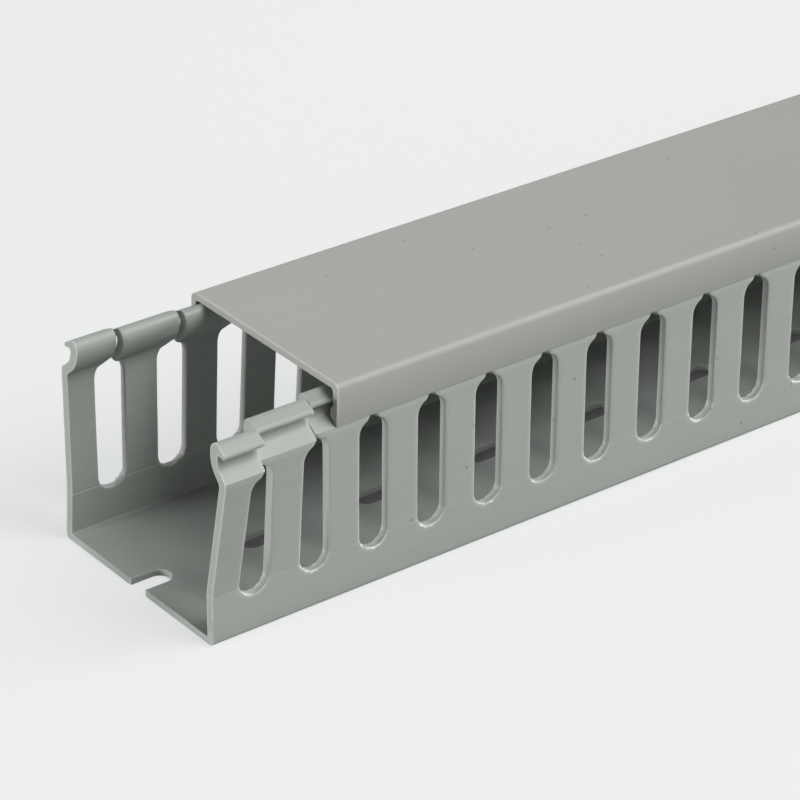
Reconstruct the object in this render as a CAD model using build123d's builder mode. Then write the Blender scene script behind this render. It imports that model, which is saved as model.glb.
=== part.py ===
from build123d import *
import math
import os

# Slotted wiring duct: an extruded and punched U-shaped base with a snap-on cover.
# Millimetres, X along the duct, near wall at -Y, +Z up. The origin is the middle of the underside.

# Base: length, floor and walls
duct_length = 500.0
floor_half_width = 21.6
shelf_half_width = 20.5
shelf_height = 32.5
wall_thickness = 1.6
floor_thickness = 1.3
outer_corner_radius = 1.0
inner_corner_radius = 0.8

# Curled rim, measured inward from the wall's outer face and up from the shelf.
# Each finger ends in a web that leans inward and a flat lip that points back out.
web_mid_in = 2.3
web_mid_up = 1.75
web_high_in = 2.95
web_high_up = 3.0
lip_root_in = 3.2
lip_root_up = 4.1
lip_tip_in = 1.45
lip_under_up = 4.35
lip_tip_up = 4.95
lip_top_in = 3.95
lip_top_up = 6.15
curl_top_in = 4.8
curl_top_up = 5.6
curl_side_in = 5.2
curl_side_up = 4.3
curl_low_in = 4.5
curl_low_up = 2.0
curl_inner_in = 1.75
curl_inner_down = 0.75

# Side slots: one punching pitch for both walls, each slot open at the top through a narrow slit
slot_pitch = 12.5
first_finger_width = 5.5
slot_width = 5.9
slot_bottom = 6.5
slot_end_sides = 12
slot_top_above_shelf = 0.1
slit_width = 0.9

# Floor slots on the centre line: the near end was sawn through the first of them
floor_slot_width = 4.2
floor_slot_length = 10.0
floor_slot_pitch = 25.0
first_floor_slot = 1.5

# The first two fingers of the near wall stand outward about their break line
break_line_height = 9.5
first_finger_lean = 11.0
second_finger_lean = 4.0
root_overlap = 1.0

# Cover: a shallow channel whose flanges hook under the lips with a bead
cover_outside_shelf = 0.05
cover_rise = 8.1
cover_thickness = 1.25
cover_corner_radius = 1.6
cover_inner_radius = 0.6
seat_clearance = 0.15
bead_depth = 0.55
bead_height = 1.5
bead_root_rise = 0.6
cover_setback = 25.6

os.makedirs("parts", exist_ok=True)

# The wall leans in a little from the floor to the shelf
wall_slope = (floor_half_width - shelf_half_width) / shelf_height


def wall_face(height):
    """Half width of the wall's outer face at a height: the floor's less the slope times the height."""
    return floor_half_width - wall_slope * height


def rim_points():
    """Half width and height of the curled rim's corners, from the shelf round to the inner face."""
    around = [(0, 0), (web_mid_in, web_mid_up), (web_high_in, web_high_up),
              (lip_root_in, lip_root_up), (lip_tip_in, lip_under_up), (lip_tip_in, lip_tip_up),
              (lip_top_in, lip_top_up), (curl_top_in, curl_top_up), (curl_side_in, curl_side_up),
              (curl_low_in, curl_low_up), (curl_inner_in, -curl_inner_down)]
    return [(shelf_half_width - inward, shelf_height + up) for inward, up in around]


near_end = -duct_length / 2
slot_count = int(duct_length / slot_pitch)
first_slot_centre = near_end + first_finger_width + slot_width / 2
slot_centres = [first_slot_centre + slot_pitch * step for step in range(slot_count)]
break_half_width = wall_face(break_line_height)
slot_top = shelf_height + slot_top_above_shelf
cover_top = shelf_height + cover_rise
through_width = 4 * floor_half_width

# Base: the section from the underside's middle out to one wall, mirrored, then extruded
half_section = [(0, 0), (floor_half_width, 0)] + rim_points()
half_section += [(wall_face(floor_thickness) - wall_thickness, floor_thickness), (0, floor_thickness)]

inner_limit = floor_half_width - wall_thickness / 2

with BuildPart() as base:
    with BuildSketch(Plane.YZ.offset(near_end)) as section:
        with BuildLine() as outline:
            Polyline(*half_section, close=True)
        make_face()
        mirror(about=Plane.YZ)
        outer_corners = [corner for corner in section.vertices().group_by(Axis.Y)[0]
                         if abs(corner.X) > floor_half_width / 2]
        fillet(outer_corners, radius=outer_corner_radius)
        root_corners = [corner for corner in section.vertices()
                        if abs(corner.Y - floor_thickness) < floor_thickness / 10
                        and abs(corner.X) > floor_half_width / 2 and abs(corner.X) < inner_limit]
        fillet(root_corners, radius=inner_corner_radius)
    extrude(amount=duct_length)

    # The near wall's first two fingers are cleared away above the break line and set again, leaning out
    first_cell_end = first_slot_centre
    second_cell_end = first_slot_centre + slot_pitch
    with BuildSketch(Plane.XY.offset(break_line_height)):
        with Locations(((near_end + second_cell_end) / 2, -floor_half_width)):
            Rectangle(second_cell_end - near_end, floor_half_width)
    extrude(amount=cover_top, mode=Mode.SUBTRACT)

    root_points = [(wall_face(break_line_height - root_overlap), break_line_height - root_overlap)]
    crown_points = rim_points()
    inner_root = (root_points[0][0] - wall_thickness, break_line_height - root_overlap)
    finger_points = root_points + crown_points + [inner_root]
    # Local X runs inward from the break line's outer face and local Y runs up the finger
    local_points = [(break_half_width - half, height - break_line_height) for half, height in finger_points]
    cells = [(near_end, first_cell_end, first_finger_lean), (first_cell_end, second_cell_end, second_finger_lean)]
    for cell_start, cell_end, lean in cells:
        inward = Vector(0, math.cos(math.radians(lean)), math.sin(math.radians(lean)))
        finger_plane = Plane(origin=(cell_start, -break_half_width, break_line_height),
                             x_dir=inward, z_dir=(1, 0, 0))
        with BuildSketch(finger_plane):
            with BuildLine():
                Polyline(*local_points, close=True)
            make_face()
        extrude(amount=cell_end - cell_start)

    # Side slots with rounded ends of a few flats, and the slit that parts the rims above each
    arc_radius = slot_width / 2
    with BuildSketch(Plane.XZ.offset(-through_width / 2)) as slots:
        with Locations([(centre, (slot_bottom + slot_top) / 2) for centre in slot_centres]):
            Rectangle(slot_width, slot_top - slot_bottom - slot_width)
        end_heights = (slot_bottom + arc_radius, slot_top - arc_radius)
        with Locations([(centre, height) for centre in slot_centres for height in end_heights]):
            RegularPolygon(arc_radius, slot_end_sides, major_radius=False, rotation=180 / slot_end_sides)
        with Locations([(centre, (slot_top + cover_top) / 2 - arc_radius / 2) for centre in slot_centres]):
            Rectangle(slit_width, cover_top - slot_top + arc_radius)
    extrude(amount=through_width, mode=Mode.SUBTRACT)

    # Floor slots for the fixing screws
    floor_slot_count = int(duct_length / floor_slot_pitch) + 1
    floor_slot_centres = [near_end + first_floor_slot + floor_slot_pitch * step for step in range(floor_slot_count)]
    with BuildSketch(Plane.XY):
        with Locations([(centre, 0) for centre in floor_slot_centres]):
            SlotOverall(floor_slot_length, floor_slot_width)
    extrude(amount=floor_thickness, mode=Mode.SUBTRACT)

base.part.label = "base"
export_step(base.part, "parts/base.step")

# Cover: as long as the base, slid back from the near end
cover_half_width = shelf_half_width + cover_outside_shelf
inner_half = cover_half_width - cover_thickness
# The flange's foot and its bead lie along the web's slope, a seat clearance above it
web_slope = web_mid_up / web_mid_in
bead_tip_half = inner_half - bead_depth
bead_tip_low = shelf_height + (shelf_half_width - bead_tip_half) * web_slope + seat_clearance
flange_bottom = shelf_height + seat_clearance
inner_top = cover_top - cover_thickness
cover_half_section = [(0, cover_top), (cover_half_width, cover_top), (cover_half_width, flange_bottom),
                      (bead_tip_half, bead_tip_low), (bead_tip_half, bead_tip_low + bead_height),
                      (inner_half, bead_tip_low + bead_height + bead_root_rise),
                      (inner_half, inner_top), (0, inner_top)]
cover_start = near_end + cover_setback

with BuildPart() as cover:
    with BuildSketch(Plane.YZ.offset(cover_start)) as lid_section:
        with BuildLine() as lid_outline:
            Polyline(*cover_half_section, close=True)
        make_face()
        mirror(about=Plane.YZ)
        top_corners = [corner for corner in lid_section.vertices().group_by(Axis.Y)[-1]
                       if abs(corner.X) > cover_half_width / 2]
        fillet(top_corners, radius=cover_corner_radius)
        under_corners = [corner for corner in lid_section.vertices()
                         if abs(corner.Y - inner_top) < cover_thickness / 10
                         and abs(corner.X) > cover_half_width / 2]
        fillet(under_corners, radius=cover_inner_radius)
    extrude(amount=duct_length)

cover.part.label = "cover"
export_step(cover.part, "parts/cover.step")
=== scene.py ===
import math
import bmesh
import bpy
import numpy as np
from mathutils import Matrix, Vector


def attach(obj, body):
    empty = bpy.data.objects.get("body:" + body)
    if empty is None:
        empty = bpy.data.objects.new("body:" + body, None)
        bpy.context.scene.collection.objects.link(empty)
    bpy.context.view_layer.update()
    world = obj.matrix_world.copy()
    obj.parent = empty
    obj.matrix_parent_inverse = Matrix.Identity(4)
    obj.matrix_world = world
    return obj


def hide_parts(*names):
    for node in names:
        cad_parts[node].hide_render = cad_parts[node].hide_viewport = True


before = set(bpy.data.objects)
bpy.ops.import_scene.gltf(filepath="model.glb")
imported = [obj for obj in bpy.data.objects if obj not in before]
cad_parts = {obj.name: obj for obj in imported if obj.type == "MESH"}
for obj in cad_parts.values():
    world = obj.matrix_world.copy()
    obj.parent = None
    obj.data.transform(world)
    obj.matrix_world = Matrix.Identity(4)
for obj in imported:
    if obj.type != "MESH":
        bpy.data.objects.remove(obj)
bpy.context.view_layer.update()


# PVC, base and cover alike: a grey rigid extrusion compound, satin as it leaves the die.
# Faint flow lines run along X, a few dark specks sit in the compound, and the tone drifts slightly.
def pvc_skin_group():
    """Group: colour, roughness and bump of extruded PVC.
    The flow lines are noise whose X is scaled by a fortieth, so that each is drawn out along the duct."""
    group = bpy.data.node_groups.new("pvc_skin", "ShaderNodeTree")
    group.interface.new_socket("Colour", in_out="INPUT", socket_type="NodeSocketColor")
    group.interface.new_socket("Speck Amount", in_out="INPUT", socket_type="NodeSocketFloat")
    group.interface.new_socket("Colour", in_out="OUTPUT", socket_type="NodeSocketColor")
    group.interface.new_socket("Roughness", in_out="OUTPUT", socket_type="NodeSocketFloat")
    group.interface.new_socket("Height", in_out="OUTPUT", socket_type="NodeSocketFloat")
    nodes, links = group.nodes, group.links
    inputs, outputs = nodes.new("NodeGroupInput"), nodes.new("NodeGroupOutput")
    place = nodes.new("ShaderNodeTexCoord")
    stretch = nodes.new("ShaderNodeMapping")
    stretch.inputs["Scale"].default_value = (0.025, 1.0, 1.0)
    links.new(place.outputs["Object"], stretch.inputs["Vector"])
    flow = nodes.new("ShaderNodeTexNoise")
    flow.inputs["Scale"].default_value = 700.0
    flow.inputs["Detail"].default_value = 2.0
    links.new(stretch.outputs["Vector"], flow.inputs["Vector"])
    drift = nodes.new("ShaderNodeTexNoise")
    drift.inputs["Scale"].default_value = 28.0
    drift.inputs["Detail"].default_value = 3.0
    links.new(place.outputs["Object"], drift.inputs["Vector"])
    grain = nodes.new("ShaderNodeTexNoise")
    grain.inputs["Scale"].default_value = 1600.0
    grain.inputs["Detail"].default_value = 2.0
    links.new(place.outputs["Object"], grain.inputs["Vector"])
    tone = nodes.new("ShaderNodeMapRange")
    tone.inputs["From Min"].default_value = 0.3
    tone.inputs["From Max"].default_value = 0.7
    tone.inputs["To Min"].default_value = 0.97
    tone.inputs["To Max"].default_value = 1.03
    mixed = nodes.new("ShaderNodeMath")
    mixed.operation = "MULTIPLY_ADD"
    mixed.inputs[1].default_value = 0.45
    links.new(flow.outputs["Fac"], mixed.inputs[0])
    half_drift = nodes.new("ShaderNodeMath")
    half_drift.operation = "MULTIPLY"
    half_drift.inputs[1].default_value = 0.55
    links.new(drift.outputs["Fac"], half_drift.inputs[0])
    links.new(half_drift.outputs[0], mixed.inputs[2])
    links.new(mixed.outputs[0], tone.inputs["Value"])
    tinted = nodes.new("ShaderNodeVectorMath")
    tinted.operation = "SCALE"
    links.new(inputs.outputs["Colour"], tinted.inputs[0])
    links.new(tone.outputs["Result"], tinted.inputs["Scale"])
    cells = nodes.new("ShaderNodeTexVoronoi")
    cells.inputs["Scale"].default_value = 150.0
    links.new(place.outputs["Object"], cells.inputs["Vector"])
    speck = nodes.new("ShaderNodeMapRange")
    speck.inputs["From Min"].default_value = 0.05
    speck.inputs["From Max"].default_value = 0.03
    links.new(cells.outputs["Distance"], speck.inputs["Value"])
    strength = nodes.new("ShaderNodeMath")
    strength.operation = "MULTIPLY"
    links.new(speck.outputs["Result"], strength.inputs[0])
    links.new(inputs.outputs["Speck Amount"], strength.inputs[1])
    dark = nodes.new("ShaderNodeMix")
    dark.data_type = "RGBA"
    dark.inputs["B"].default_value = (0.12, 0.12, 0.11, 1.0)
    links.new(strength.outputs[0], dark.inputs["Factor"])
    links.new(tinted.outputs["Vector"], dark.inputs["A"])
    links.new(dark.outputs["Result"], outputs.inputs["Colour"])
    rough = nodes.new("ShaderNodeMapRange")
    rough.inputs["From Min"].default_value = 0.3
    rough.inputs["From Max"].default_value = 0.7
    rough.inputs["To Min"].default_value = 0.42
    rough.inputs["To Max"].default_value = 0.54
    links.new(drift.outputs["Fac"], rough.inputs["Value"])
    links.new(rough.outputs["Result"], outputs.inputs["Roughness"])
    height = nodes.new("ShaderNodeMath")
    height.operation = "MULTIPLY_ADD"
    height.inputs[1].default_value = 0.35
    links.new(grain.outputs["Fac"], height.inputs[0])
    links.new(flow.outputs["Fac"], height.inputs[2])
    links.new(height.outputs[0], outputs.inputs["Height"])
    return group


pvc_skin = pvc_skin_group()


def pvc_material(name, colour, score=None):
    """PVC material: the skin group feeding a Principled shader, with a fine bump.
    score is the height of the line scored along the walls: a notch, with a painted highlight along its lip. It is
    cut deeper, and its highlight painted stronger, on the walls' inner faces, which stand within 20.5 mm of the
    middle."""
    material = bpy.data.materials.new(name)
    material.use_nodes = True
    nodes, links = material.node_tree.nodes, material.node_tree.links
    shader = nodes["Principled BSDF"]
    shader.inputs["IOR"].default_value = 1.5
    skin = nodes.new("ShaderNodeGroup")
    skin.node_tree = pvc_skin
    skin.inputs["Colour"].default_value = (*colour, 1.0)
    skin.inputs["Speck Amount"].default_value = 0.6
    bump = nodes.new("ShaderNodeBump")
    bump.inputs["Strength"].default_value = 0.25
    bump.inputs["Distance"].default_value = 0.00003
    # Paler where the mesh's attribute says: partly stress whitening of the cut edges, partly a painted highlight on
    # those edges and on the sawn ends.
    whitening_and_highlight = nodes.new("ShaderNodeAttribute")
    whitening_and_highlight.attribute_name = "whitened_and_highlighted"
    pale = nodes.new("ShaderNodeMix")
    pale.data_type = "RGBA"
    pale.inputs["B"].default_value = (0.66, 0.67, 0.64, 1.0)
    links.new(whitening_and_highlight.outputs["Fac"], pale.inputs["Factor"])
    links.new(skin.outputs["Colour"], pale.inputs["A"])
    links.new(pale.outputs["Result"], shader.inputs["Base Color"])
    links.new(skin.outputs["Roughness"], shader.inputs["Roughness"])
    links.new(skin.outputs["Height"], bump.inputs["Height"])
    if score:
        place = nodes.new("ShaderNodeTexCoord")
        axes = nodes.new("ShaderNodeSeparateXYZ")
        links.new(place.outputs["Object"], axes.inputs["Vector"])
        off = nodes.new("ShaderNodeMath")
        off.operation = "SUBTRACT"
        off.inputs[1].default_value = score
        links.new(axes.outputs["Z"], off.inputs[0])
        gap = nodes.new("ShaderNodeMath")
        gap.operation = "ABSOLUTE"
        links.new(off.outputs[0], gap.inputs[0])
        notch = nodes.new("ShaderNodeMapRange")
        notch.inputs["From Min"].default_value = 0.00008
        notch.inputs["From Max"].default_value = 0.00028
        notch.inputs["To Max"].default_value = 0.0
        links.new(gap.outputs[0], notch.inputs["Value"])
        across = nodes.new("ShaderNodeMath")
        across.operation = "ABSOLUTE"
        links.new(axes.outputs["Y"], across.inputs[0])
        inner = nodes.new("ShaderNodeMapRange")
        inner.inputs["From Min"].default_value = 0.0202
        inner.inputs["From Max"].default_value = 0.0208
        inner.inputs["To Min"].default_value = 1.0
        inner.inputs["To Max"].default_value = 0.25
        links.new(across.outputs[0], inner.inputs["Value"])
        links.new(inner.outputs["Result"], notch.inputs["To Min"])
        # Painted highlight along the scored line, added to the edge paleness.
        lip = nodes.new("ShaderNodeMath")
        lip.operation = "MULTIPLY_ADD"
        lip.inputs[1].default_value = 0.34
        links.new(notch.outputs["Result"], lip.inputs[0])
        links.new(whitening_and_highlight.outputs["Fac"], lip.inputs[2])
        links.new(lip.outputs[0], pale.inputs["Factor"])
        dip = nodes.new("ShaderNodeMath")
        dip.operation = "MULTIPLY_ADD"
        dip.inputs[1].default_value = -9.0
        links.new(notch.outputs["Result"], dip.inputs[0])
        links.new(skin.outputs["Height"], dip.inputs[2])
        links.new(dip.outputs[0], bump.inputs["Height"])
    links.new(bump.outputs["Normal"], shader.inputs["Normal"])
    return material


duct_pvc = pvc_material("duct_pvc", (0.352, 0.375, 0.348), score=0.0093)
cover_pvc = pvc_material("cover_pvc", (0.366, 0.378, 0.352))


# Base: a PVC channel, extruded in one piece and then punched with a row of slots along each wall.
# The rims are curled in the die, the slots and the slits above them are punched, and the fingers
# can be snapped out along a score line. The near end is sawn, through the first of the floor slots.
mm = 0.001
duct_start, duct_end = -250.0, 250.0
floor_half, shelf_half, shelf_z = 21.6, 20.5, 32.5
wall_t, floor_t = 1.6, 1.3
slot_pitch, slot_w, slot_low, slot_high, slit_w = 12.5, 5.9, 7.2, 32.0, 0.9
slot_centres = duct_start + 5.5 + slot_w / 2 + slot_pitch * np.arange(40)
cell_foot = 4.0
score_z, bend_foot, bend_run = 9.5, 8.0, 3.0
far_end_rise = 0.7
# Rim rows from the wall up and round to the lip's tip: height index, then how far in and up from the
# shelf the groove side lies, then the same for the side that faces the wires.
rim_rows = np.array([
    [31.0, 0.00, -1.50, 1.60, -1.50],
    [31.9, 0.00, -0.60, 1.60, -1.05],
    [32.25, 0.00, -0.20, 1.50, -0.86],
    [32.6, 0.12, 0.12, 1.86, -0.66],
    [33.2, 0.75, 0.58, 2.30, -0.28],
    [34.0, 1.60, 1.22, 3.15, 0.30],
    [35.0, 2.35, 1.85, 4.00, 1.20],
    [36.0, 2.80, 2.65, 4.65, 2.30],
    [37.0, 3.05, 3.45, 5.05, 3.50],
    [38.0, 3.12, 4.02, 5.18, 4.60],
    [38.8, 2.95, 4.30, 4.90, 5.45],
    [39.6, 2.65, 4.42, 4.35, 6.00],
    [40.4, 2.25, 4.42, 3.75, 6.10],
    [41.4, 1.85, 4.40, 2.70, 5.62],
    [42.4, 1.50, 4.38, 1.55, 5.08],
    [42.7, 1.42, 4.55, 1.42, 4.88]])
rim_levels = np.concatenate([np.linspace(42.7, 42.4, 2), np.linspace(42.0, 33.0, 19), np.linspace(32.9, 32.65, 2)])


def smooth_table(levels, table):
    """Cubic Hermite curve through the table's rows, each slope that of the chord between its neighbours."""
    keys, values = table[:, 0], table[:, 1:]
    slopes = np.gradient(values, keys, axis=0)
    low = np.clip(np.searchsorted(keys, levels, side="right") - 1, 0, len(keys) - 2)
    gap = (keys[low + 1] - keys[low])[:, None]
    u = ((levels - keys[low])[:, None]) / gap
    return ((2 * u**3 - 3 * u**2 + 1) * values[low] + (u**3 - 2 * u**2 + u) * gap * slopes[low]
            + (3 * u**2 - 2 * u**3) * values[low + 1] + (u**3 - u**2) * gap * slopes[low + 1])


def wall_point(x, level, depth, side, leans):
    """A point in the wall's thickness: the outer point and the inner point at this level, mixed by depth.
    A finger with a lean turns about the score line's outer edge, easing in over bend_run around it.
    The far wall's sawn end stands a little higher: the rise fades out over five slots."""
    x, level, depth = np.broadcast_arrays(x, level, depth)
    shape = x.shape
    x, level, depth = x.ravel(), level.ravel(), depth.ravel()
    slope = (floor_half - shelf_half) / shelf_z
    half = floor_half - slope * level - wall_t * depth
    height = level.copy()
    rim = level > rim_rows[0, 0]
    if rim.any():
        around = smooth_table(level[rim], rim_rows)
        base_half = np.where(level[rim] < 32.6, floor_half - slope * np.minimum(level[rim], shelf_z), shelf_half)
        half[rim] = base_half - (around[:, 0] * (1 - depth[rim]) + around[:, 2] * depth[rim])
        height[rim] = shelf_z + around[:, 1] * (1 - depth[rim]) + around[:, 3] * depth[rim]
    angle = np.zeros_like(x)
    for limit, lean in leans:
        angle = np.where((x < limit) & (angle == 0), lean, angle)
    ease = np.clip((level - bend_foot) / bend_run, 0, 1)
    angle = np.radians(angle) * ease * ease * (3 - 2 * ease)
    pivot = floor_half - slope * score_z
    out, rise = half - pivot, height - score_z
    half = pivot + out * np.cos(angle) + rise * np.sin(angle)
    height = score_z + rise * np.cos(angle) - out * np.sin(angle)
    if side > 0:
        fade = np.clip((slot_centres[4] - x) / (2 * slot_pitch), 0, 1)
        height = height + far_end_rise * fade * fade * (3 - 2 * fade) * np.clip((level - cell_foot) / 2.5, 0, 1)
    return np.stack([x, side * half, height], -1).reshape(*shape, 3)


def floor_point(x, y, depth):
    """A point in the floor's thickness: depth 0 is the underside and 1 the top."""
    x, y, depth = np.broadcast_arrays(x, y, depth)
    return np.stack([x, y, floor_t * depth], -1)


def edge_section(outer_round, inner_round, thickness):
    """The cut edge's section as (distance into the sheet, depth): flat, inner round, cut face, outer round, flat."""
    turn = np.radians([90, 60, 30, 0])
    inner = [(inner_round * (1 - math.cos(a)), 1 - inner_round * (1 - math.sin(a)) / thickness) for a in turn]
    outer = [(outer_round * (1 - math.cos(a)), outer_round * (1 - math.sin(a)) / thickness) for a in turn[::-1]]
    return np.array([(1e6, 1.0), (0.9, 1.0)] + inner + outer + [(0.9, 0.0), (1e6, 0.0)])


# Whitening across the section, partly painted highlight: none on the flats, strongest on the outer round, where the
# punch's edge drew the skin over and where a painted highlight stands for the light on the rolled edge.
section_white_and_highlight = np.array([0, 0, 0.05, 0.45, 0.55, 0.22, 0.22, 0.7, 1.0, 0.12, 0, 0])


def cut_cell(edge, border, section, place, rough, whiten_and_highlight):
    """Grid over one punched hole: each point of the cut edge is joined to its point on the cell's border,
    and the section is walked from the border over the cut and back. rough pushes the cut by that much.
    A distance below zero in the section is measured back from the border."""
    reach = np.linalg.norm(border - edge, axis=1)[:, None]
    distance = section[None, :, 0]
    into = distance + rough * (distance < 0.5)
    share = np.where(distance < 0, 1 + distance / reach, np.clip(into / reach, 0, 1))
    share[:, 0] = share[:, -1] = 1
    spot = edge[:, None, :] + (border - edge)[:, None, :] * share[:, :, None]
    points = place(spot[..., 0], spot[..., 1], section[None, :, 1])
    white = section_white_and_highlight if len(section) == 12 else np.concatenate([[0, 0], section_white_and_highlight[1:-1], [0, 0]])
    return points, white[None, :] * whiten_and_highlight


def grid_faces(rows, columns, first, closed=False):
    """Quads of a grid of rows by columns, numbered from first. A closed grid joins its last row to the first."""
    index = first + np.arange(rows * columns).reshape(rows, columns)
    if closed:
        index = np.concatenate([index, index[:1]])
    return np.stack([index[:-1, :-1], index[:-1, 1:], index[1:, 1:], index[1:, :-1]], -1).reshape(-1, 4)


chance = np.random.default_rng(7)
base_points, base_white, base_quads, base_caps = [], [], [], []
base_count = 0


def add_grid(points, white, closed=False):
    """Appends a grid to the base and returns the numbers of its points."""
    global base_count
    rows, columns = points.shape[:2]
    base_points.append(points.reshape(-1, 3))
    base_white.append(np.broadcast_to(white, (rows, columns)).ravel())
    base_quads.append(grid_faces(rows, columns, base_count, closed))
    index = base_count + np.arange(rows * columns).reshape(rows, columns)
    base_count += rows * columns
    return index


def slot_edge(left, right, beside=()):
    """The slot's cut edge from one slit mouth round to the other, and the border of its cell.
    Above the lower arc's centre the border is straight out; below it, it lies along the arc's radius.
    beside holds further angles of the lower arc, where the row below has a point of its own."""
    radius = slot_w / 2
    high, low = slot_high - radius, slot_low + radius
    neck = math.acos(slit_w / 2 / radius)
    top = np.linspace(math.pi - neck, math.pi, 7)[1:]
    sides = np.linspace(high, low, 4)[1:-1]
    corner_left = math.pi + math.atan2(low - cell_foot, left)
    corner_right = 2 * math.pi - math.atan2(low - cell_foot, right)
    foot = np.concatenate([np.linspace(math.pi, corner_left, 5), np.linspace(corner_left, corner_right, 9)[1:],
                           np.linspace(corner_right, 2 * math.pi, 5)[1:]])
    foot = np.sort(np.concatenate([foot, beside]))
    upper_left = np.concatenate([
        np.stack([np.full(len(rim_levels), -slit_w / 2), rim_levels], 1),
        np.stack([radius * np.cos(top), high + radius * np.sin(top)], 1),
        np.stack([np.full(len(sides), -radius), sides], 1)])
    upper_right = upper_left[::-1] * [-1, 1]
    arc = np.stack([radius * np.cos(foot), low + radius * np.sin(foot)], 1)
    reach_x = np.where(np.cos(foot) < 0, left, right) / np.maximum(np.abs(np.cos(foot)), 1e-9)
    reach_y = (low - cell_foot) / np.maximum(-np.sin(foot), 1e-9)
    reach = np.minimum(reach_x, reach_y)
    arc_border = np.stack([reach * np.cos(foot), low + reach * np.sin(foot)], 1)
    edge = np.concatenate([upper_left, arc, upper_right])
    border = np.concatenate([upper_left * [0, 1] - [left, 0], arc_border, upper_right * [0, 1] + [right, 0]])
    at_foot = np.concatenate([np.zeros(len(upper_left)), np.clip(-np.sin(foot) * 1.6, 0, 1),
                              np.zeros(len(upper_right))])
    return edge, border, at_foot


# Each wall is 40 cells, one round each slot. A sawn end is pale beside the cut: partly its burr, partly a painted
# highlight on its edges.
sawn_edge_band = 0.22
foot_columns, foot_faces = [], {}
half_rows = len(rim_levels) + 6 + 2 + 5
near_leans = ((slot_centres[0], 11.0), (slot_centres[1], 4.0))
far_leans = ((slot_centres[0], 4.2), (slot_centres[1], 2.6), (slot_centres[2], 1.2))
for side, leans in ((-1, near_leans), (1, far_leans)):
    for number, centre in enumerate(slot_centres):
        left = centre - duct_start if number == 0 else slot_pitch / 2
        right = duct_end - centre if number == 39 else slot_pitch / 2
        rise = slot_low + slot_w / 2 - cell_foot
        beside = {0: [math.pi + math.atan2(rise, left - sawn_edge_band)],
                  39: [2 * math.pi - math.atan2(rise, right - sawn_edge_band)]}
        edge, border, at_foot = slot_edge(left, right, beside.get(number, ()))
        in_rim = edge[:, 1] > 32.7
        section = edge_section(0.28, 0.14, wall_t)
        thin = edge_section(0.12, 0.12, wall_t)
        if number in (0, 39):
            by_end = np.array([[-sawn_edge_band, 1.0]]), np.array([[-sawn_edge_band, 0.0]])
            section = np.concatenate([section[:1], by_end[0], section[1:-1], by_end[1], section[-1:]])
            thin = np.concatenate([thin[:1], by_end[0], thin[1:-1], by_end[1], thin[-1:]])
        wear = chance.normal(0, 1, (len(edge), len(section)))
        rough = wear * (0.02 + 0.10 * at_foot[:, None])
        # Paler cut edges, partly stress whitening and partly painted highlight: more at the slot's foot, varied at
        # random.
        whiten_and_highlight = 0.45 + 0.75 * at_foot[:, None] + 0.2 * np.abs(wear)
        moved = np.array([centre, 0.0])

        def on_wall(x, level, depth):
            """The wall's own point, with this wall's side and leans."""
            return wall_point(x, level, depth, side, leans)

        points, white = cut_cell(edge + moved, border + moved, section, on_wall, rough, whiten_and_highlight)
        fine, fine_white = cut_cell(edge + moved, border + moved, thin, on_wall, rough * 0, whiten_and_highlight)
        points[in_rim], white[in_rim] = fine[in_rim], fine_white[in_rim]
        sawn = slice(0, half_rows) if number == 0 else slice(-half_rows, None)
        # The sawn end's edges are painted paler: partly burr, partly painted highlight.
        if number in (0, 39):
            white[sawn, [[0], [-1]]] = 0.7
        index = add_grid(points, np.clip(white, 0, 1))
        tips = [index[0].tolist(), index[-1].tolist()]
        if side < 0:
            foot_columns.append(border[np.isclose(border[:, 1], cell_foot), 0] + centre)
        if number in (0, 39):
            levels = border[sawn, 1][:, None]
            face = on_wall(duct_start if number == 0 else duct_end, levels, np.array([[1.0, 0.84, 0.16, 0.0]]))
            # The sawn end face: paler at its two edges, partly burr, partly painted highlight.
            face = add_grid(face, np.array([[0.7, 0.12, 0.12, 0.7]]))
            face = face if number == 0 else face[::-1]
            tips[0 if number == 0 else 1] += [face[0, 2], face[0, 1]]
            foot_faces[side, number] = face[-1, 1:3].tolist()
        base_caps += tips

# The foot of each wall and the floor beside the slots: one section, carried along X.
columns = np.unique(np.round(np.concatenate(foot_columns), 6))
strip_half, strip_edge, inner_r, outer_r = 5.0, 14.0, 0.35, 1.0
slope = (floor_half - shelf_half) / shelf_z
outer_turn = np.radians(np.linspace(0, -90, 7))
inner_turn = np.radians(np.linspace(-90, 0, 6))
inner_wall = floor_half - wall_t - slope * floor_t
foot_section = np.concatenate([
    [[strip_edge, floor_t]],
    np.stack([inner_wall - inner_r + inner_r * np.cos(inner_turn),
              floor_t + inner_r + inner_r * np.sin(inner_turn)], 1),
    [[floor_half - wall_t - slope * cell_foot, cell_foot]],
    [[floor_half - slope * cell_foot, cell_foot]],
    np.stack([floor_half - outer_r + outer_r * np.cos(outer_turn), outer_r + outer_r * np.sin(outer_turn)], 1),
    [[strip_edge, 0.0]]])
inner_count = len(inner_turn) + 2
strip_top, strip_under, end_loops = {}, {}, {}
for side in (-1, 1):
    x = np.broadcast_to(columns[:, None], (len(columns), len(foot_section)))
    y = np.broadcast_to(side * foot_section[None, :, 0], x.shape)
    z = np.broadcast_to(foot_section[None, :, 1], x.shape)
    points = np.stack([x, y, z], -1)
    # The strips' sawn ends are paler: partly saw whitening, partly painted highlight.
    ends = ((x < duct_start + 0.01) | (x > duct_end - 0.01)) * 0.35
    inner_part = add_grid(points[:, :inner_count], ends[:, :inner_count])
    outer_part = add_grid(points[:, inner_count:], ends[:, inner_count:])
    strip_top[side], strip_under[side] = inner_part[:, 0], outer_part[:, -1]
    for row, number in ((0, 0), (-1, 39)):
        end_loops[side, number] = inner_part[row].tolist() + foot_faces[side, number] + outer_part[row].tolist()

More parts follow.
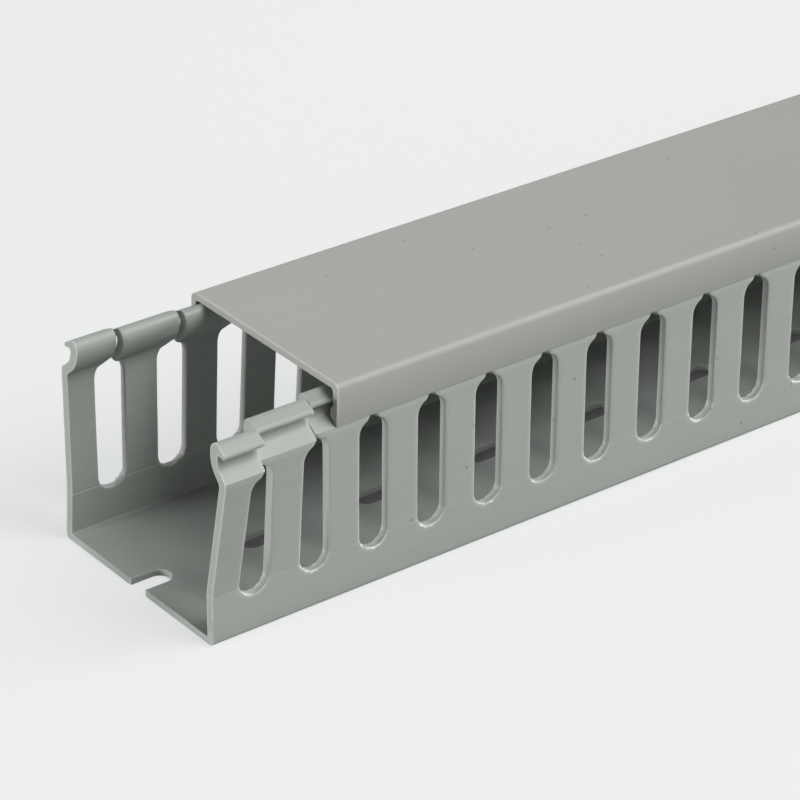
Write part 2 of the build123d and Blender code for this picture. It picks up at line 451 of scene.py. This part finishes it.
# Floor slots on the centre line, each in a strip 10 mm wide. Both ends of the duct cut through one.
slot_r, slot_length, floor_pitch, first_centre = 2.1, 10.0, 25.0, 1.5
floor_section = edge_section(0.15, 0.15, floor_t)


def side_points(start, end, count):
    """Evenly spaced points on the straight line from start to end."""
    return np.linspace(np.array(start, float), np.array(end, float), count)


def whole_slot(middle, low_x, high_x):
    """A slot with its four-sided border, walked the same way round: arc points shifted to their own end's centre."""
    border = np.concatenate([
        side_points((high_x, -strip_half), (high_x, strip_half), 7),
        side_points((high_x, strip_half), (low_x, strip_half), 13)[1:],
        side_points((low_x, strip_half), (low_x, -strip_half), 7)[1:],
        side_points((low_x, -strip_half), (high_x, -strip_half), 13)[1:-1]])
    turns = np.radians(np.concatenate([
        np.linspace(-55, 55, 7), np.linspace(55, 90, 6)[1:], np.linspace(90, 125, 7),
        np.linspace(125, 235, 7)[1:], np.linspace(235, 270, 6)[1:], np.linspace(270, 305, 7)[:-1]]))
    half_run = slot_length / 2 - slot_r
    shift = np.repeat([half_run, -half_run, half_run], [12, 18, 6])
    edge = np.stack([middle + shift + slot_r * np.cos(turns), slot_r * np.sin(turns)], 1)
    return edge, border


def join_strip(side, rows, border, index):
    """Joins a floor cell's long side to the strip beside it, above and below, each by one flat face.
    Its far corners are the strip's points nearest to the cell's own. Returns the rows in order of X."""
    rows = np.array(rows)[np.argsort(border[rows, 0])]
    first, last = (int(np.abs(columns - border[row, 0]).argmin()) for row in (rows[0], rows[-1]))
    base_caps.append(np.concatenate([strip_top[side][first:last + 1], index[rows[::-1], 0]]))
    base_caps.append(np.concatenate([strip_under[side][first:last + 1], index[rows[::-1], -1]]))
    return rows


for number in range(1, 20):
    middle = duct_start + first_centre + floor_pitch * number
    edge, border = whole_slot(middle, middle - floor_pitch / 2, middle + floor_pitch / 2)
    # The floor slots' cut edges are paler: partly stress whitening, partly painted highlight.
    points, white = cut_cell(edge, border, floor_section, floor_point, 0.0, 0.55)
    index = add_grid(points, white, closed=True)
    join_strip(1, list(range(6, 19)), border, index)
    join_strip(-1, [0, *range(24, 36)], border, index)
half_end = slot_length / 2 - slot_r
for end, inward, limit in ((duct_start, 1, duct_start + 14.0), (duct_end, -1, duct_end - 11.0)):
    arc_x = end + first_centre + half_end if inward > 0 else end - 1.4
    angles = np.radians(np.linspace(-90, 90, 15))
    arc = np.stack([arc_x + inward * slot_r * np.cos(angles), slot_r * np.sin(angles)], 1)
    edge = np.concatenate([[[end, -slot_r]], arc, [[end, slot_r]]])
    border = np.concatenate([side_points((end, -strip_half), (limit, -strip_half), 6),
                             side_points((limit, -strip_half), (limit, strip_half), 7)[1:],
                             side_points((limit, strip_half), (end, strip_half), 6)[1:]])
    # The cut edges of the end slots are paler: partly stress whitening, partly painted highlight.
    points, white = cut_cell(edge, border, floor_section, floor_point, 0.0, 0.7)
    index = add_grid(points, white)
    base_caps += [index[0], index[-1]]
    for side, rows in ((-1, range(0, 6)), (1, range(11, 17))):
        rows = join_strip(side, list(rows), border, index)
        corner = index[rows[0 if inward > 0 else -1]]
        base_caps.append([corner[0]] + end_loops[side, 0 if inward > 0 else 39] + [corner[-1]])


def closed_mesh(name, points, quads, caps, white, crease):
    """A mesh from numbered points: doubles merged at 2 micrometres, faces turned outwards, smooth below
    the crease angle."""
    mesh = bpy.data.meshes.new(name)
    mesh.from_pydata((points * mm).tolist(), [], quads.tolist() + [np.asarray(cap).tolist() for cap in caps])
    layer = mesh.attributes.new("whitened_and_highlighted", "FLOAT", "POINT")
    layer.data.foreach_set("value", np.asarray(white, dtype=np.float32))
    work = bmesh.new()
    work.from_mesh(mesh)
    bmesh.ops.remove_doubles(work, verts=work.verts, dist=2e-6)
    bmesh.ops.dissolve_degenerate(work, edges=work.edges, dist=1e-7)
    bmesh.ops.recalc_face_normals(work, faces=work.faces)
    work.to_mesh(mesh)
    work.free()
    mesh.shade_smooth()
    mesh.set_sharp_from_angle(angle=math.radians(crease))
    piece = bpy.data.objects.new(name, mesh)
    bpy.context.scene.collection.objects.link(piece)
    return piece


base = closed_mesh("duct_base", np.concatenate(base_points), np.concatenate(base_quads), base_caps,
                   np.concatenate(base_white), 34.0)
base.data.materials.append(duct_pvc)
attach(base, "base")
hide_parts("base")


# Cover: a shallow PVC channel, extruded, then sawn to the base's length. Its flanges hook under the
# lips of the rims with a bead, and it has been slid back so that the first fingers show. Each flange's
# half of the section starts at the bead, goes round its toe and ends on the top.
cover_start, cover_end = -224.4, 275.6
cover_half, cover_top, cover_t, cover_r = 20.55, 40.6, 1.25, 1.25
round_out = np.radians(np.linspace(0, 90, 8))
round_in = np.radians(np.linspace(90, 0, 5))
inside, under = cover_half - cover_t, cover_top - cover_t
half_loop = np.concatenate([
    [[inside + 0.02, 36.2], [18.78, 35.62], [18.75, 35.45], [18.75, 34.15], [18.85, 33.98], [20.35, 32.75],
     [20.48, 32.66], [20.55, 32.8]],
    np.stack([cover_half - cover_r + cover_r * np.cos(round_out),
              cover_top - cover_r + cover_r * np.sin(round_out)], 1)])
under_loop = np.stack([inside - 0.6 + 0.6 * np.cos(round_in), under - 0.6 + 0.6 * np.sin(round_in)], 1)
across = np.linspace(cover_half - cover_r, -(cover_half - cover_r), 9)[1:-1]
loop = np.concatenate([
    half_loop, np.stack([across, np.full(7, cover_top)], 1), half_loop[::-1] * [-1, 1],
    under_loop[::-1] * [-1, 1], np.stack([-across * 0.9, np.full(7, under)], 1), under_loop])
cover_x = np.concatenate([[cover_start, cover_start + 0.12, cover_start + 0.6],
                          np.linspace(cover_start + 12.5, cover_end - 12.5, 39),
                          [cover_end - 0.6, cover_end - 0.12, cover_end]])
flat_x = np.broadcast_to(cover_x[:, None], (len(cover_x), len(loop)))
inset = np.where((cover_x < cover_start + 0.05) | (cover_x > cover_end - 0.05), 0.10, 0.0)[:, None]
following = np.roll(loop, -1, axis=0) - np.roll(loop, 1, axis=0)
outward = np.stack([following[:, 1], -following[:, 0]], 1)
outward /= np.linalg.norm(outward, axis=1)[:, None]
points = np.stack([flat_x, loop[None, :, 0] - inset * outward[None, :, 0],
                   loop[None, :, 1] - inset * outward[None, :, 1]], -1)
rows, count = points.shape[:2]
index = np.arange(rows * count).reshape(rows, count)
around = np.concatenate([index, index[:, :1]], 1)
quads = np.stack([around[:-1, :-1], around[:-1, 1:], around[1:, 1:], around[1:, :-1]], -1).reshape(-1, 4)
# The cover's sawn ends and the rows beside them are painted paler: a painted highlight on the end edges.
white = np.zeros((rows, count))
white[[0, -1]] = 0.1
white[[1, -2]] = 0.5
cover = closed_mesh("duct_cover", points.reshape(-1, 3), quads, [index[0], index[-1]], white.ravel(), 34.0)
cover.data.materials.append(cover_pvc)
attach(cover, "cover")
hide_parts("cover")


# Floor: a pale seamless studio sweep, seen as almost white. What the camera sees of it glows faintly, but not under
# the duct, between its walls: there the glow is left out as a painted shadow.
floor_mesh = bpy.data.meshes.new("floor")
floor_mesh.from_pydata([(-6, -6, 0), (6, -6, 0), (6, 6, 0), (-6, 6, 0)], [], [(0, 1, 2, 3)])
floor = bpy.data.objects.new("floor", floor_mesh)
bpy.context.scene.collection.objects.link(floor)
floor_paint = bpy.data.materials.new("floor_paint")
floor_paint.use_nodes = True
floor_nodes, floor_links = floor_paint.node_tree.nodes, floor_paint.node_tree.links
floor_shader = floor_nodes["Principled BSDF"]
floor_shader.inputs["Roughness"].default_value = 0.9
floor_shader.inputs["Specular IOR Level"].default_value = 0.2
ray = floor_nodes.new("ShaderNodeLightPath")
seen = floor_nodes.new("ShaderNodeMix")
seen.data_type = "RGBA"
seen.inputs["A"].default_value = (0.42, 0.42, 0.42, 1)
seen.inputs["B"].default_value = (0.22, 0.22, 0.22, 1)
floor_links.new(ray.outputs["Is Camera Ray"], seen.inputs["Factor"])
floor_links.new(seen.outputs["Result"], floor_shader.inputs["Base Color"])
floor_glow = floor_nodes.new("ShaderNodeMath")
floor_glow.operation = "MULTIPLY"
floor_glow.inputs[1].default_value = 0.64
floor_links.new(ray.outputs["Is Camera Ray"], floor_glow.inputs[0])
floor_place = floor_nodes.new("ShaderNodeTexCoord")
floor_axes = floor_nodes.new("ShaderNodeSeparateXYZ")
floor_links.new(floor_place.outputs["Object"], floor_axes.inputs["Vector"])
# Mask of the duct's footprint, where the glow is left out: a painted shadow under the duct.
for axis, low, high in (("Y", 0.0195, 0.0212), ("X", 0.2425, 0.2440)):
    away = floor_nodes.new("ShaderNodeMath")
    away.operation = "ABSOLUTE"
    floor_links.new(floor_axes.outputs[axis], away.inputs[0])
    beyond = floor_nodes.new("ShaderNodeMapRange")
    beyond.inputs["From Min"].default_value = low
    beyond.inputs["From Max"].default_value = high
    floor_links.new(away.outputs[0], beyond.inputs["Value"])
    if axis == "Y":
        beyond_walls = beyond
outside_painted_shadow = floor_nodes.new("ShaderNodeMath")
outside_painted_shadow.operation = "MAXIMUM"
floor_links.new(beyond_walls.outputs["Result"], outside_painted_shadow.inputs[0])
floor_links.new(beyond.outputs["Result"], outside_painted_shadow.inputs[1])
glow_beside_painted_shadow = floor_nodes.new("ShaderNodeMath")
glow_beside_painted_shadow.operation = "MULTIPLY"
floor_links.new(floor_glow.outputs[0], glow_beside_painted_shadow.inputs[0])
floor_links.new(outside_painted_shadow.outputs[0], glow_beside_painted_shadow.inputs[1])
floor_links.new(glow_beside_painted_shadow.outputs[0], floor_shader.inputs["Emission Strength"])
floor_shader.inputs["Emission Color"].default_value = (0.97, 1.0, 0.99, 1)
floor_mesh.materials.append(floor_paint)

# Light: a dim even room, a broad lamp high in front, a weak one behind, one low on the right
# and one before the near end.
world = bpy.data.worlds.new("studio")
world.use_nodes = True
world.node_tree.nodes["Background"].inputs["Color"].default_value = (1, 1, 1, 1)
world.node_tree.nodes["Background"].inputs["Strength"].default_value = 0.12
bpy.context.scene.world = world


def soft_lamp(name, place, aim, size, power):
    """A square area lamp at a place, turned so that its face looks at the aim point."""
    lamp = bpy.data.lights.new(name, "AREA")
    lamp.shape, lamp.size, lamp.energy = "SQUARE", size, power
    holder = bpy.data.objects.new(name, lamp)
    facing = (Vector(aim) - Vector(place)).to_track_quat("-Z", "Y")
    holder.matrix_world = Matrix.Translation(place) @ facing.to_matrix().to_4x4()
    bpy.context.scene.collection.objects.link(holder)


soft_lamp("key_lamp", (0.55, -1.12, 1.70), (-0.15, 0, 0), 1.2, 39.5)
soft_lamp("rear_lamp", (0.6, 1.7, 1.0), (-0.15, 0, 0), 1.5, 6.6)
soft_lamp("front_lamp", (2.57, -1.10, 0.62), (-0.15, 0, 0), 1.0, 50.0)
soft_lamp("end_lamp", (-2.05, 0.35, 0.3), (-0.2, 0, 0.02), 0.5, 24.0)

# Camera: at the photograph's angle, fitted to the slots, the edges and the cover's end.
azimuth, elevation, roll = math.radians(-39.35), math.radians(29.19), math.radians(1.85)
focal_px, shift_right, shift_up, distance = 3513.4, 0.04416, 0.03217, 0.5928
near_end = -0.25
back = Vector((math.sin(azimuth) * math.cos(elevation), -math.cos(azimuth) * math.cos(elevation),
               math.sin(elevation)))
right = Vector((0, 0, 1)).cross(back).normalized()
up = back.cross(right)
right, up = right * math.cos(roll) + up * math.sin(roll), up * math.cos(roll) - right * math.sin(roll)
lens = bpy.data.cameras.new("camera")
lens.sensor_width = 36.0
lens.lens = focal_px * 36.0 / 800.0
lens.clip_start, lens.clip_end = 0.01, 50.0
camera = bpy.data.objects.new("camera", lens)
turn = Matrix((right, up, back)).transposed().to_4x4()
stand = right * shift_right + up * shift_up + back * distance + Vector((near_end, 0, 0))
camera.matrix_world = Matrix.Translation(stand) @ turn
bpy.context.scene.collection.objects.link(camera)
bpy.context.scene.camera = camera
bpy.context.scene.view_settings.view_transform = "Standard"
